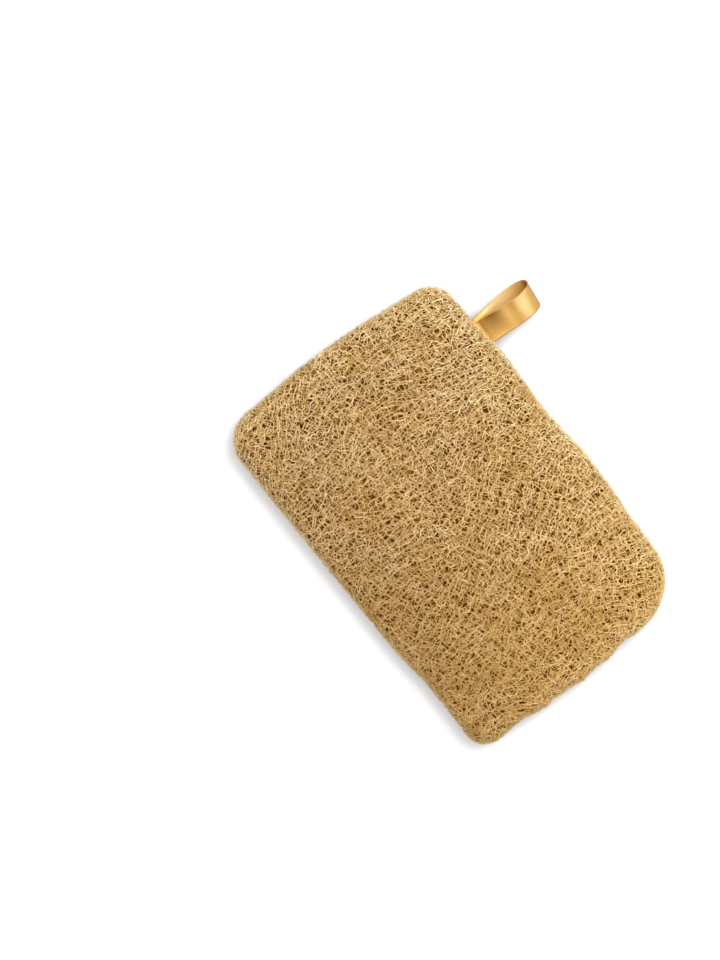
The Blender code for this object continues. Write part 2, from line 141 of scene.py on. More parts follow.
def surface(x, y, side, lift):
    """Points of the pad's skin, and their normals. Those past the outline go round onto the other face."""
    depth, way_x, way_y = depth_and_way(x, y)
    past = depth < 0
    x = np.where(past, x + 2 * depth * way_x, x)
    y = np.where(past, y + 2 * depth * way_y, y)
    side, depth = np.where(past, -side, side), np.abs(depth)
    turn = np.minimum(depth / RIM, math.pi / 2)
    shift = np.where(turn < math.pi / 2, UNROLLED + RIM * (1 - np.cos(turn)) - depth, 0)
    shift = np.maximum(shift, 0)
    plan_x, plan_y = fitted(x - way_x * shift, y - way_y * shift)
    level = np.cos(turn) / RIM
    normal = np.stack([way_x * level, way_y * level, side * np.sin(turn) / MIDDLE], -1)
    normal /= np.linalg.norm(normal, axis=-1, keepdims=True)
    height = MIDDLE + side * MIDDLE * np.sin(turn)
    height = height + np.where(side > 0, swell(plan_x, plan_y) * np.sin(turn) ** 2, 0)
    point = np.stack([plan_x, plan_y, height], -1) + lift[..., None] * normal
    return point, normal


def outline_ring(spacing):
    """Points evenly along the unrolled face's outline."""
    line = []
    for (sign_x, sign_y), start in (((1, -1), -90), ((1, 1), 0), ((-1, 1), 90), ((-1, -1), 180)):
        radius = RADII[sign_x, sign_y] + UNROLLED
        middle = sign_x * (REACH_X - radius), sign_y * (REACH_Y - radius)
        for n in range(17):
            angle = math.radians(start + 90 * n / 16)
            line.append((middle[0] + radius * math.cos(angle), middle[1] + radius * math.sin(angle)))
    line = np.array(line + line[:1])
    length = np.r_[0, np.cumsum(np.linalg.norm(np.diff(line, axis=0), axis=1))]
    count = round(length[-1] / spacing)
    at = np.arange(count) * length[-1] / count
    return np.stack([np.interp(at, length, line[:, 0]), np.interp(at, length, line[:, 1])], -1)


def linked(name, data):
    """A new object in the scene."""
    thing = bpy.data.objects.new(name, data)
    bpy.context.scene.collection.objects.link(thing)
    return thing


# The fibres
class Whorls:
    """Places where the fibres run together like a star, or round in a ring."""

    def __init__(self, draw, count):
        self.x = draw.uniform(-REACH_X, REACH_X, count)
        self.y = draw.uniform(-REACH_Y, REACH_Y, count)
        self.size = draw.uniform(2.5, 6.5, count)
        self.turn = np.where(draw.random(count) < 0.6, 0.0, math.pi / 2) + draw.normal(0, 0.25, count)
        self.strength = draw.uniform(0.4, 1.2, count)

    def turned(self, x, y, cos2, sin2):
        """Headings, as the cosine and sine of twice their angle, turned near each whorl."""
        for px, py, size, turn, strength in zip(self.x, self.y, self.size, self.turn, self.strength):
            dx, dy = x - px, y - py
            weight = strength * np.exp(-(dx * dx + dy * dy) / (size * size))
            angle = 2 * (np.arctan2(dy, dx) + turn)
            cos2 = cos2 + weight * np.cos(angle)
            sin2 = sin2 + weight * np.sin(angle)
        return cos2, sin2


def heading_field(whorls, x, y):
    """Which way most fibres run: across the pad in slow waves, out over the rim, and along the -Y side."""
    wave = 0.24 * np.sin(x / 19 + y / 27) + 0.16 * np.sin(y / 11 - x / 15) + 0.14 * np.sin(x / 5 + y / 7)
    wave += 0.20 * (1 - smooth_step((x - 10) / 40))
    angle = 2 * (math.pi / 2 + wave)
    cos2, sin2 = np.cos(angle), np.sin(angle)
    depth, way_x, way_y = depth_and_way(x, y)
    near = 1.6 * smooth_step(1 - depth / 11)
    out = 2 * np.arctan2(way_y, way_x)
    along = np.where(way_y < -0.6, -1.0, 1.0) * np.where(way_x < -0.6, 0.8, 1.0)
    cos2 = cos2 + near * along * np.cos(out)
    sin2 = sin2 + near * along * np.sin(out)
    cos2, sin2 = whorls.turned(x, y, cos2, sin2)
    return 0.5 * np.arctan2(sin2, cos2)


def places_around(grid, column, row, reach):
    """The places in the grid's cells round one cell."""
    for i in range(column - reach, column + reach + 1):
        for j in range(row - reach, row + reach + 1):
            yield from grid.get((i, j), ())


def hole_places(draw, closest):
    """Centres for the dark pits of the net, evenly spread at random."""
    grid, found = {}, []
    tries = int(26 * REACH_X * REACH_Y * 4 / closest**2)
    xs, ys = draw.uniform(-REACH_X, REACH_X, tries), draw.uniform(-REACH_Y, REACH_Y, tries)
    loose = draw.uniform(0.85, 1.3, tries)
    depth, _, _ = depth_and_way(xs, ys)
    keep = 1.0 + 0.20 * smooth_step(1 - depth / 6) + 0.10 * smooth_step((xs - 40) / 35)
    keep += 0.12 * np.sin(xs / 9 + 1) * np.sin(ys / 8)
    keep += 0.20 * np.sin(xs / 2.7 + ys / 9) * np.sin(ys / 2.3 - xs / 11)
    for x, y, near in zip(xs, ys, closest * loose * keep):
        column, row = int(x // closest), int(y // closest)
        around = places_around(grid, column, row, math.ceil(near / closest))
        if all((px - x) ** 2 + (py - y) ** 2 >= near * near for px, py in around):
            grid.setdefault((column, row), []).append((x, y))
            found.append((x, y))
    return np.array(found)


class Holes:
    """The dark pits of the net: oval, each with its own size and heading, smaller at the rim and ends."""

    def __init__(self, draw, whorls, closest):
        self.places = hole_places(draw, closest)
        count = len(self.places)
        x, y = self.places.T
        depth, _, _ = depth_and_way(x, y)
        big = draw.lognormal(0, 0.32, count) * (1 - 0.26 * smooth_step(1 - depth / 7))
        big *= 1 - 0.44 * smooth_step((x - 20) / 45) - 0.14 * smooth_step((-x - 45) / 20)
        self.wide = 0.31 * big
        self.long = self.wide * draw.uniform(1.1, 1.8, count)
        across = np.where(draw.random(count) < 0.25, math.pi / 2, 0)
        self.angle = heading_field(whorls, x, y) + draw.normal(0, 0.3, count) + across
        self.tree = kdtree.KDTree(count)
        for index, (px, py) in enumerate(self.places):
            self.tree.insert((px, py, 0), index)
        self.tree.balance()

    def nearest(self, x, y):
        """The number of the pit nearest to each point."""
        return np.array([self.tree.find((a, b, 0))[1] for a, b in zip(x, y)], int)

    def part(self, x, y, heading, strength):
        """Moves fibre points sideways, so that the fibres go round the pits."""
        hole = self.nearest(x, y)
        dx, dy = x - self.places[hole, 0], y - self.places[hole, 1]
        cos, sin = np.cos(heading), np.sin(heading)
        along, across = dx * cos + dy * sin, -dx * sin + dy * cos
        turn = heading - self.angle[hole]
        wide, long = self.wide[hole], self.long[hole]
        half_along = 1 / np.sqrt((np.cos(turn) / long) ** 2 + (np.sin(turn) / wide) ** 2)
        half_across = 1 / np.sqrt((np.sin(turn) / long) ** 2 + (np.cos(turn) / wide) ** 2)
        bulge = np.cos(np.clip(along / (1.7 * half_along), -1, 1) * math.pi / 2)
        need = half_across * bulge
        push = np.sign(across + 1e-9) * np.maximum(0, need - np.abs(across)) * strength
        return x - push * sin, y + push * cos


def grow(draw, whorls, density, lengths, step, scatter, cross, near_edges):
    """Long curved lines over the unrolled face. Returns x, y, heading and which line each point is on.

    With near_edges, only at the rim, the +X end and the +Y side, where the net is finer and closer.
    """
    mean = (lengths[0] + lengths[1]) / 2
    area = 4 * REACH_X * REACH_Y
    count = int(density * area / mean)
    columns = int(math.sqrt(count * REACH_X / REACH_Y))
    rows = max(1, count // columns)
    grid_x, grid_y = np.meshgrid(np.arange(columns), np.arange(rows))
    count = grid_x.size
    x = (grid_x.ravel() + draw.random(count)) / columns * 2 * REACH_X - REACH_X
    y = (grid_y.ravel() + draw.random(count)) / rows * 2 * REACH_Y - REACH_Y
    length = draw.uniform(*lengths, count)
    if cross is None:
        offset = draw.normal(0, scatter, count)
    else:
        offset = draw.uniform(*cross, count) * np.where(draw.random(count) < 0.5, 1, -1)
    steps = np.maximum(3, (length / step / 2).astype(int))
    bend = draw.normal(0, 0.05, count)
    crimp = draw.uniform(0.2, 0.75, count)
    phase, pitch = draw.uniform(0, 2 * math.pi, count), draw.uniform(2.2, 5.2, count)
    reach = draw.uniform(1.5, 7.5, count)
    wanted = np.ones(count, bool)
    if near_edges:
        depth, _, _ = depth_and_way(x, y)
        wanted = (x > draw.uniform(20, 52, count)) | (depth < draw.uniform(2, 7, count))
        wanted |= y > draw.uniform(24, 46, count)
    sides = []
    for way in (-1, 1):
        px, py = x, y
        heading = heading_field(whorls, px, py) + offset
        going = wanted.copy()
        run = []
        for n in range(int(steps.max()) + 1):
            depth, _, _ = depth_and_way(px, py)
            going &= (depth > -reach) & (n <= steps)
            mouth = (np.abs(px - MOUTH_MIDDLE) < MOUTH_HALF) & (py > 0) & (depth < MOUTH_DEPTH)
            going &= ~mouth
            run.append((px, py, heading, going.copy()))
            aim = heading_field(whorls, px, py) + offset
            gap = (aim - heading + math.pi / 2) % math.pi - math.pi / 2
            heading = heading + (0.18 * gap + bend * way) * step
            bent = heading + crimp * np.sin(n * step * way * 2 * math.pi / pitch + phase)
            px = px + way * step * np.cos(bent)
            py = py + way * step * np.sin(bent)
        sides.append([np.array(values) for values in zip(*run)])
    x, y, heading, on = (np.concatenate([back[:0:-1], forth]).T for back, forth in zip(*sides))
    line = np.repeat(np.arange(count)[:, None], x.shape[1], 1)
    keep = on.ravel()
    return x.ravel()[keep], y.ravel()[keep], heading.ravel()[keep], line.ravel()[keep]


def drop_short(arrays, line, least):
    """Leaves out lines with fewer points than that, and numbers the others afresh."""
    _, place, count = np.unique(line, return_inverse=True, return_counts=True)
    keep = count[place] >= least
    _, fresh = np.unique(line[keep], return_inverse=True)
    return [a[keep] for a in arrays], fresh


def mean_along(values, line):
    """Each point's value averaged with those of its neighbours on the line."""
    same = line[1:] == line[:-1]
    total, weight = 2 * values, np.full(len(values), 2.0)
    total[1:] += values[:-1] * same
    weight[1:] += same
    total[:-1] += values[1:] * same
    weight[:-1] += same
    return total / weight


def ends_of(line):
    """How many points lie between each point and the nearer end of its line, and before it."""
    index = np.arange(len(line))
    first = np.r_[True, line[1:] != line[:-1]]
    start = np.maximum.accumulate(np.where(first, index, 0))
    last = np.r_[line[1:] != line[:-1], True]
    stop = len(line) - 1 - np.maximum.accumulate(np.where(last[::-1], index, 0))[::-1]
    return np.minimum(index - start, stop - index), index - start


def thin_out(point, line, tolerance=0.05):
    """Which points stay when every second one goes where the line is nearly straight."""
    inner = np.zeros(len(line), bool)
    inner[1:-1] = (line[1:-1] == line[:-2]) & (line[1:-1] == line[2:])
    away = np.zeros(len(line))
    away[1:-1] = np.linalg.norm(point[1:-1] - (point[:-2] + point[2:]) / 2, axis=1)
    _, order = ends_of(line)
    return ~(inner & (away < tolerance) & (order % 2 == 1))


def weave_at(x, y):
    """Which set of fibres lies on top, from -1 to 1: uneven patches about two millimetres across."""
    first = np.sin(3.5 * x + 1.6 * np.sin(0.41 * y + 1) + 0.9 * np.sin(1.7 * y)) * np.sin(
        3.2 * y + 1.7 * np.sin(0.37 * x) + 0.9 * np.sin(1.6 * x + 2))
    second = np.sin(4.3 * x + 2.1 * y + 1.5 * np.sin(0.5 * y)) * np.sin(
        1.9 * x - 4.1 * y + np.sin(0.6 * x))
    return np.clip(1.3 * first + 0.9 * second + 0.1, -1, 1)


def strands(draw, whorls, holes, side, density, lengths, width, levels, scatter=0.3, cross=None,
            strength=1.0, step=0.6, dark=0.0, over=0.32, near_edges=False):
    """One layer of fibres: their points, normals, half widths, line numbers, a tone, a painted shade, and
    sides.

    density is the fibres' length on each square millimetre. levels are their least and greatest lift
    from the skin. With cross they run at such an angle to the field, and otherwise along it, give or
    take scatter. strength is how far they give way to the pits, and over how far the weave lifts them.
    dark is painted shade that all of the layer's fibres get, on top of the painted shade that grows with
    depth.
    """
    x, y, heading, line = grow(draw, whorls, density, lengths, step, scatter, cross, near_edges)
    (x, y, heading), line = drop_short([x, y, heading], line, least=5)
    for _ in range(2):
        x, y = holes.part(x, y, heading, strength)
        x, y = mean_along(x, line), mean_along(y, line)
    x, y = holes.part(x, y, heading, strength)
    count = int(line.max()) + 1
    to_end, order = ends_of(line)
    travelled = order * step
    level = draw.uniform(*levels, count)
    weave, phase = draw.uniform(2.4, 5.5, count), draw.uniform(0, 2 * math.pi, count)
    swing = draw.uniform(0.02, 0.10, count)
    lift = level[line] + swing[line] * np.sin(travelled / weave[line] * 2 * math.pi + phase[line])
    lift = lift + (over if cross is None else -over) * weave_at(x, y)
    lift = lift - 0.9 * np.clip(1 - to_end * step / 2.0, 0, 1) ** 2
    if side < 0:
        lift = lift - 0.25
    point, normal = surface(x, y, np.full(len(x), float(side)), lift)
    half = width * draw.lognormal(0, 0.17, count)[line] / 2
    half = half * (1 + 0.12 * np.sin(travelled / 1.9 + phase[line] * 3))
    half = half * np.clip(0.35 + to_end * step / 1.6, 0.35, 1)
    half = mean_along(half, line)
    if side < 0:
        point[:, 2] = np.maximum(point[:, 2], half * 1.2)
    depth, _, _ = depth_and_way(x, y)
    speckle, second = draw.uniform(1.3, 2.5, count)[line], draw.uniform(0, 2 * math.pi, count)[line]
    stroke = 0.5 + 0.5 * np.sin(travelled * 2 * math.pi / speckle + second)
    tone = 0.55 * draw.random(count)[line] + 0.45 * stroke
    # Painted light: the fibres are paler towards the rim
    tone = np.minimum(tone + 0.4 * smooth_step(1 - depth / 6), 1)
    keep = thin_out(point, line)
    # Painted shade: the deeper a fibre lies in the net, the darker it is, on top of the layer's dark
    painted_shade = dark + np.clip((0.05 - lift) * 0.5, 0, 0.6)
    return [a[keep] for a in (point, normal, half, line, tone, painted_shade)] + [2]


def hairs(draw, count, width):
    """Short loose ends that stand off a little all round the rim."""
    ring = outline_ring(1.0)
    at = ring[draw.integers(0, len(ring), count)]
    inward = draw.uniform(-4.0, 3.5, count)
    _, way_x, way_y = depth_and_way(*(at * 0.999).T)
    x, y = at[:, 0] - way_x * inward, at[:, 1] - way_y * inward
    clear = ~((np.abs(x - MOUTH_MIDDLE) < MOUTH_HALF) & (y > 0))
    clear &= ~((x > 70) & (draw.random(count) < 0.6))
    x, y, way_x, way_y = x[clear], y[clear], way_x[clear], way_y[clear]
    count = len(x)
    heading = np.arctan2(way_y, way_x) + draw.normal(0, 0.7, count)
    turn, length = draw.normal(0, 0.35, count), draw.uniform(1.0, 2.8, count)
    rise = draw.uniform(0.1, 0.75, count)
    xs, ys, lifts = [], [], []
    last = len(HAIR_TAPER) - 1
    for n in range(len(HAIR_TAPER)):
        xs.append(x)
        ys.append(y)
        lifts.append(-0.25 + rise * (n / last) ** 1.5 * 1.3)
        x = x + length / last * np.cos(heading)
        y = y + length / last * np.sin(heading)
        heading = heading + turn
    xs, ys, lifts = (np.array(a).T.ravel() for a in (xs, ys, lifts))
    point, normal = surface(xs, ys, np.ones(len(xs)), lifts)
    line = np.repeat(np.arange(count), len(HAIR_TAPER))
    half = width / 2 * np.tile(HAIR_TAPER, count)
    point[:, 2] = np.maximum(point[:, 2], half)
    return [point, normal, half, line, draw.uniform(0.5, 1, count)[line], np.zeros(len(line)), 3]


# The flat map of a piece: its side, a strip's height and the space between strips, in small squares
MAP_SIDE, STRIP, SPACE = 1024, 4.0, 1.0


def strips_laid(lines):
    """Lays each fibre as its own strip in a square map, in rows. Returns the points' places by layer."""
    counts = np.concatenate([np.bincount(line) for line in lines])
    most_rows = int(MAP_SIDE / (STRIP + SPACE))
    stretch = (most_rows * MAP_SIDE - 3 * SPACE * len(counts)) / (counts - 1).sum()
    row = most_rows
    while row >= most_rows:
        stretch *= 0.98
        rows, starts, row, at = [], [], 0, 0.0
        for width in (counts - 1) * stretch + 3 * SPACE:
            if at + width > MAP_SIDE:
                row, at = row + 1, 0.0
            rows.append(row)
            starts.append(at + SPACE)
            at += width
    rows, starts = np.array(rows), np.array(starts)
    laid, first = [], 0
    for line in lines:
        _, order = ends_of(line)
        laid.append((starts[first + line] + order * stretch, rows[first + line] * (STRIP + SPACE)))
        first += int(line.max()) + 1
    return laid


def section_ring(point, normal, half, same, roll):
    """Three places round each point of the fibres: on the left, on top and on the right."""
    before, after = np.arange(len(point)), np.arange(len(point))
    before[1:][same] -= 1
    after[:-1][same] += 1
    tangent = point[after] - point[before]
    tangent /= np.maximum(np.linalg.norm(tangent, axis=1, keepdims=True), 1e-9)
    sideways = np.cross(tangent, normal)
    sideways /= np.maximum(np.linalg.norm(sideways, axis=1, keepdims=True), 1e-9)
    upward = np.cross(sideways, tangent)
    ring = []
    for corner in (-1, 0, 1):
        angle = (roll + 2 * math.pi * corner / 3)[:, None]
        out = SECTION_WIDE * np.sin(angle) * sideways + SECTION_HIGH * np.cos(angle) * upward
        ring.append(point + half[:, None] * out)
    return np.stack(ring, 1).reshape(-1, 3)


def mesh_of(name, places, quads, caps):
    """A mesh from arrays of places, of four-sided faces and of three-sided ones."""
    mesh = bpy.data.meshes.new(name)
    mesh.vertices.add(len(places))
    mesh.vertices.foreach_set("co", places.astype(np.float32).ravel())
    corners = np.concatenate([quads.ravel(), caps.ravel()]).astype(np.int32)
    mesh.loops.add(len(corners))
    mesh.loops.foreach_set("vertex_index", corners)
    starts = np.concatenate([np.arange(len(quads)) * 4, len(quads) * 4 + np.arange(len(caps)) * 3])
    mesh.polygons.add(len(quads) + len(caps))
    mesh.polygons.foreach_set("loop_start", starts.astype(np.int32))
    return mesh


def tubes(name, layers, draw, material):
    """One mesh of thin tubes along the lines of some layers: three-sided, or a ridge of two sides."""
    places, tones, painted_shades, quads, caps, quad_map, cap_map = ([] for _ in range(7))
    total = 0
    laid = strips_laid([layer[3] for layer in layers])
    for (point, normal, half, line, tone, painted_shade, sides), (u, v) in zip(layers, laid):
        same = line[1:] == line[:-1]
        roll = draw.normal(0, 0.35 if sides == 3 else 0.15, int(line.max()) + 1)[line]
        places.append(section_ring(point, normal, half, same, roll) * MM)
        tones.append(np.repeat(tone, 3))
        # Painted shade: a fibre's two lower corners are darker than its ridge
        painted_shades.append(np.stack([painted_shade + PAINTED_SIDE_SHADE, painted_shade, painted_shade + PAINTED_SIDE_SHADE], 1).ravel())
        here = np.nonzero(same)[0]
        start = here * 3 + total
        for a in range(sides):
            b = (a + 1) % 3
            quads.append(np.stack([start + a, start + b, start + 3 + b, start + 3 + a], -1))
            low, high = v[here] + a * STRIP / sides, v[here] + (a + 1) * STRIP / sides
            near, far = u[here], u[here + 1]
            quad_map.append(np.stack([near, low, near, high, far, high, far, low], -1).reshape(-1, 2))
        if sides == 3:
            head, tail = np.nonzero(np.r_[True, ~same])[0], np.nonzero(np.r_[~same, True])[0]
            for end, order, out in ((head, (0, 2, 1), -SPACE), (tail, (0, 1, 2), SPACE)):
                caps.append(np.stack([end * 3 + total + corner for corner in order], -1))
                flat_corners = np.array([
                    (u[end] + out * (corner == 1), v[end] + corner * STRIP / 3) for corner in order])
                cap_map.append(flat_corners.transpose(2, 0, 1).reshape(-1, 2))
        total += 3 * len(point)
    places, quads = np.concatenate(places), np.concatenate(quads)
    caps = np.concatenate(caps) if caps else np.zeros((0, 3), int)
    mesh = mesh_of(name, places, quads, caps)
    flat = mesh.uv_layers.new(name="OFBake")
    flat_places = np.concatenate(quad_map + cap_map) / MAP_SIDE
    flat.data.foreach_set("uv", flat_places.astype(np.float32).ravel())
    mesh.update(calc_edges=True)
    mesh.validate()
    mesh.shade_smooth()
    for label, values in (("tone", tones), ("painted_shade", painted_shades)):
        kept = mesh.attributes.new(label, "FLOAT", "POINT")
        kept.data.foreach_set("value", np.concatenate(values).astype(np.float32))
    mesh.materials.append(material)
    return linked(name, mesh)


# The materials
def new_material(name):
    """A material, its node tree and its shader."""
    material = bpy.data.materials.new(name)
    material.use_nodes = True
    tree = material.node_tree
    return material, tree, tree.nodes["Principled BSDF"]


def node(tree, kind, **values):
    """A new node with some of its settings."""
    made = tree.nodes.new(kind)
    for key, value in values.items():
        setattr(made, key, value)
    return made


def object_place(tree):
    """Places on the object, in metres."""
    return node(tree, "ShaderNodeTexCoord").outputs["Object"]


def mix_colours(tree, factor, first, second, blend="MIX"):
    """A colour mix. Each of factor, first and second is a socket or a plain value."""
    made = node(tree, "ShaderNodeMix", data_type="RGBA", blend_type=blend)
    for socket, value in ((made.inputs[0], factor), (made.inputs[6], first), (made.inputs[7], second)):
        if isinstance(value, bpy.types.NodeSocket):
            tree.links.new(value, socket)
        elif isinstance(value, (int, float)):
            socket.default_value = value
        else:
            socket.default_value = (*value, 1)
    return made.outputs[2]


def tinted(tree, factor, colour, tint):
    """The colour times the tint, as far as the factor goes."""
    return mix_colours(tree, factor, colour, tint, "MULTIPLY")


def span(tree, value, low, high, new_low=0.0, new_high=1.0):
    """The value taken from one range to another, and kept within it."""
    made = node(tree, "ShaderNodeMapRange")
    tree.links.new(value, made.inputs["Value"])
    ends = {"From Min": low, "From Max": high, "To Min": new_low, "To Max": new_high}
    for key, number in ends.items():
        made.inputs[key].default_value = number
    return made.outputs["Result"]


def product(tree, *factors):
    """The product of some values."""
    total = factors[0]
    for factor in factors[1:]:
        made = node(tree, "ShaderNodeMath", operation="MULTIPLY")
        tree.links.new(total, made.inputs[0])
        tree.links.new(factor, made.inputs[1])
        total = made.outputs[0]
    return total


def absolute(tree, value):
    """The value without its sign."""
    made = node(tree, "ShaderNodeMath", operation="ABSOLUTE")
    tree.links.new(value, made.inputs[0])
    return made.outputs[0]


def axes(tree, place):
    """The three coordinates of a place."""
    made = node(tree, "ShaderNodeSeparateXYZ")
    tree.links.new(place, made.inputs[0])
    return made.outputs


def add_bump(tree, shader, height, strength, distance):
    """Raises the shader's surface by a height."""
    made = node(tree, "ShaderNodeBump")
    made.inputs["Strength"].default_value = strength
    made.inputs["Distance"].default_value = distance
    tree.links.new(height, made.inputs["Height"])
    tree.links.new(made.outputs["Normal"], shader.inputs["Normal"])


def noise(tree, place, scale, detail=2.0, roughness=0.5):
    """Soft random values, with that many waves to a unit of the place."""
    made = node(tree, "ShaderNodeTexNoise")
    tree.links.new(place, made.inputs["Vector"])
    made.inputs["Scale"].default_value = scale
    made.inputs["Detail"].default_value = detail
    made.inputs["Roughness"].default_value = roughness
    return made.outputs["Fac"]


def fibre_material():
    """Dry straw: each fibre has its own tone, with painted shade on its sides and deep in the net.

    The pad's colour also changes slowly over it: more golden towards +X, paler with painted light at the
    +Y side and the ends, and dimmer with painted shade at the -Y side.
    """
    material, tree, shader = new_material("loofah_fibre")
    place = object_place(tree)
    tone = node(tree, "ShaderNodeAttribute", attribute_name="tone").outputs["Fac"]
    painted_shade = node(tree, "ShaderNodeAttribute", attribute_name="painted_shade").outputs["Fac"]
    x, y, _ = axes(tree, place)
    straw = mix_colours(tree, tone, (0.43, 0.275, 0.095), (0.95, 0.79, 0.50))
    straw = tinted(tree, span(tree, x, -0.075, 0.075), straw, (1.0, 0.90, 0.74))
    # Painted light and shade: paler towards the +Y side and darker towards -Y
    across = mix_colours(tree, span(tree, y, -0.052, 0.052), (0.915, 0.91, 0.90), (1.03, 1.04, 1.05))
    straw = tinted(tree, 1.0, straw, across)
    # Painted light: paler still towards the +Y side, with a cooler tint at its rim
    straw = tinted(tree, span(tree, y, 0.018, 0.044), straw, (1.13, 1.17, 1.19))
    straw = tinted(tree, span(tree, y, 0.043, 0.049), straw, (0.985, 1.025, 1.045))
    # Painted shade: dimmer along the -Y side, less so at the -X end, at the +X end and at the very rim
    painted_shade_side = product(
        tree, span(tree, y, -0.038, -0.012, 1.0, 0.0), span(tree, y, -0.050, -0.044, 0.4, 1.0),
        span(tree, x, -0.075, 0.005), span(tree, x, 0.04, 0.08, 1.0, 0.6))
    straw = tinted(tree, painted_shade_side, straw, (0.76, 0.775, 0.81))
    # Painted light: paler at the rims of both ends
    straw = tinted(tree, span(tree, absolute(tree, x), 0.068, 0.074), straw, (1.11, 1.14, 1.12))
    closer_net = product(tree, span(tree, x, 0.022, 0.055), span(tree, x, 0.066, 0.074, 1.0, 0.35))
    straw = tinted(tree, closer_net, straw, (0.875, 0.86, 0.79))
    patches = span(tree, noise(tree, place, 55, 3), 0.35, 0.68)
    straw = tinted(tree, patches, straw, (0.86, 0.825, 0.71))
    speck = span(tree, noise(tree, place, 800, 3, 0.6), 0.47, 0.68, 0, 0.5)
    straw = mix_colours(tree, speck, straw, (0.38, 0.22, 0.068))
    # Painted shade: darker fibre sides and deeper fibres, a little lighter towards the +X end
    deep = product(tree, painted_shade, span(tree, x, 0.025, 0.065, 1.0, 0.85))
    straw = mix_colours(tree, deep, straw, (0.23, 0.09, 0.0))
    tree.links.new(straw, shader.inputs["Base Color"])
    roughness = span(tree, noise(tree, place, 1400), 0.3, 0.7, 0.5, 0.72)
    tree.links.new(roughness, shader.inputs["Roughness"])
    add_bump(tree, shader, noise(tree, place, 4200), 0.25, 0.00006)
    shader.inputs["Specular IOR Level"].default_value = 0.1
    return material


def shadow_core_material():
    """Painted shade: the dark brown that shows at the bottom of the pits, where the deep net lies in
    shadow.
    """
    material, tree, shader = new_material("loofah_shadow_core")
    place = object_place(tree)
    patch = span(tree, noise(tree, place, 700, 3), 0.35, 0.65)
    brown = mix_colours(tree, patch, (0.055, 0.018, 0.0), (0.11, 0.042, 0.001))
    tree.links.new(brown, shader.inputs["Base Color"])
    roughness = span(tree, noise(tree, place, 1400), 0.3, 0.7, 0.82, 0.96)
    tree.links.new(roughness, shader.inputs["Roughness"])
    add_bump(tree, shader, noise(tree, place, 1100, 3), 0.4, 0.0002)
    shader.inputs["Specular IOR Level"].default_value = 0.05
    return material


# The core
def core_piece(material, spacing, inset):
    """A bumpy body of the pad's form, a little inside the fibres, whose dark colour is painted shade."""
    draw = np.random.default_rng(5)
    ring = outline_ring(spacing)
    columns = np.arange(-REACH_X, REACH_X, spacing)
    rows = np.arange(-REACH_Y, REACH_Y, spacing)
    gx, gy = (a.ravel() for a in np.meshgrid(columns, rows))
    gx = gx + draw.uniform(-0.35, 0.35, gx.size) * spacing
    gy = gy + draw.uniform(-0.35, 0.35, gy.size) * spacing
    depth, _, _ = depth_and_way(gx, gy)
    inside = depth > 0.6 * spacing
    flat = np.concatenate([ring, np.stack([gx[inside], gy[inside]], -1)])
    edges = [(n, (n + 1) % len(ring)) for n in range(len(ring))]
    flat = [Vector(p) for p in flat]
    placed, _, faces, origins, _, _ = delaunay_2d_cdt(flat, edges, [], 1, 1e-5, True)
    placed = np.array([tuple(p) for p in placed])
    on_ring = np.array([bool(o) and min(o) < len(ring) for o in origins])
    faces = np.array([f for f in faces if len(f) == 3])
    count = len(placed)
    verts = []
    lower = np.arange(count) + count
    lower[on_ring] = np.nonzero(on_ring)[0]
    depth, _, _ = depth_and_way(*placed.T)
    sunk = 1.0 + (inset - 1.0) * smooth_step((depth - 2) / 5)
    for side in (1.0, -1.0):
        lift = -sunk - 0.3 * draw.random(count)
        lift[on_ring] = -1.0
        points, _ = surface(placed[:, 0], placed[:, 1], np.full(count, side), lift)
        slit = (np.abs(points[:, 0] - (RIBBON_X + LOWER_SHIFT / 2)) < SLIT_HALF) & (depth < SLIT_DEPTH)
        points[slit, 1] = np.minimum(points[slit, 1], MOUTH_Y - RIBBON_TUCK - SLIT_SPARE)
        verts.append(points)
    all_faces = np.concatenate([faces, lower[faces[:, ::-1]]])
    verts = np.concatenate(verts) * MM
    used, fresh = np.unique(all_faces, return_inverse=True)
    mesh = bpy.data.meshes.new("loofah_shadow_core")
    mesh.from_pydata([tuple(v) for v in verts[used]], [], [tuple(f) for f in fresh.reshape(-1, 3)])
    mesh.shade_smooth()
    mesh.materials.append(material)
    return linked("loofah_shadow_core", mesh)


# The ribbon
def loop_points(points):
    """The folded line: how far out of the pad and how high, from one tail's end to the other's."""
    mouth, tip = Vector((0, TAIL_HEIGHT, 0)), Vector((RIBBON_REACH, 0, 0))
    curve = interpolate_bezier(
        mouth, mouth + Vector((*MOUTH_HANDLE, 0)), tip + Vector((0, TIP_HANDLE, 0)), tip, points)
    ends = [(-RIBBON_TUCK * (1 - n / 8), TAIL_HEIGHT) for n in range(8)]
    upper = ends + [(p.x, p.y) for p in curve]
    return np.array(upper + [(out, -height) for out, height in reversed(upper[:-1])])


